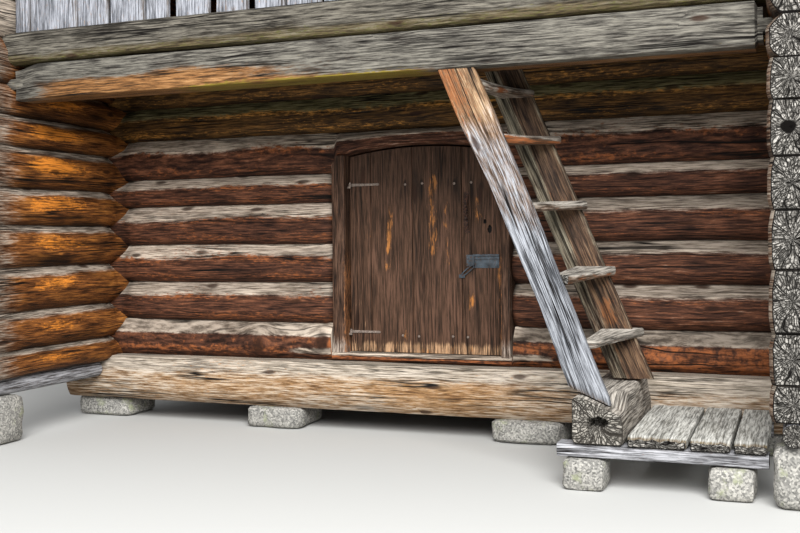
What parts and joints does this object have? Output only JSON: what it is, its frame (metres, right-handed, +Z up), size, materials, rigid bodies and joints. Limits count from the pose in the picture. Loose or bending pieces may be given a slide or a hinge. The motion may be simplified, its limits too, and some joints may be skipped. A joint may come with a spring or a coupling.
{
  "type": "two-storey log storehouse",
  "caption": "Log storehouse with a recessed ground storey, a low arched plank door, a boarded loft that oversails the recess, a ladder stair and a boarded gable roof.",
  "frame": {"origin": "middle of the plan at the underside of the foundation stones", "axes": "+X to the right along the front, +Y from the front to the back, +Z up"},
  "size_m": [5.8166, 5.35, 5.6307],
  "materials": {
    "field_stone": "rough split grey field stone",
    "weathered_log": "bare round pole, weathered",
    "sill_log": "light brown hewn sill log with long drying cracks",
    "tarred_log": "old tarred hewn log, dark red-brown with grey worn tops",
    "side_log": "old tarred hewn log with grey checked end grain",
    "grey_beam": "silver-grey weathered beam with deep cracks",
    "grey_board": "silver-grey weathered board",
    "inner_timber": "bare dry timber, brown with age",
    "door_wood": "dark brown weathered plank",
    "stair_wood": "brown-grey worn plank",
    "roof_board": "grey weathered roof board",
    "wrought_iron": "forged iron with brown rust",
    "lock_iron": "blue-grey painted iron plate, worn"
  },
  "bodies": {
    "building": {"foundation_stones": "field_stone", "sill_poles": "weathered_log", "front_sill": "sill_log", "threshold_log": "tarred_log", "front_wall_left": "tarred_log", "front_wall_right": "tarred_log", "lintel_log": "tarred_log", "front_wall_top": "tarred_log", "rear_wall_ground": "tarred_log", "rear_wall_upper": "tarred_log", "left_wall_ground": "side_log", "right_wall_ground": "side_log", "left_wall_upper": "side_log", "right_wall_upper": "side_log", "left_gable": "side_log", "right_gable": "side_log", "front_beam": "grey_beam", "gallery_sill": "grey_beam", "gallery_boards": "grey_board", "front_plate": "tarred_log", "loft_joists": "inner_timber", "loft_floor": "inner_timber", "floor_sleepers": "inner_timber", "ground_floor": "inner_timber", "door_jambs": "door_wood", "door_pintles": "wrought_iron", "near_stringer": "grey_beam", "far_stringer": "stair_wood", "stair_treads": "stair_wood", "stair_block": "grey_beam", "platform_planks": "grey_board", "platform_bearers": "grey_beam", "ridge_purlin": "side_log", "side_purlins": "side_log", "front_roof": "roof_board", "rear_roof": "roof_board", "ridge_boards": "roof_board", "verge_boards": "roof_board"},
    "door": {"door_leaf": "door_wood", "door_ledges": "door_wood", "door_straps": "wrought_iron", "door_handle": "wrought_iron", "door_lock": "lock_iron"}
  },
  "joints": [
    {"name": "door_hinge", "type": "hinge", "parent": "building", "child": "door", "pos_m": [-0.431, -1.073, 0.64], "axis": [0, 0, -1], "range_deg": [0, 90]}
  ]
}
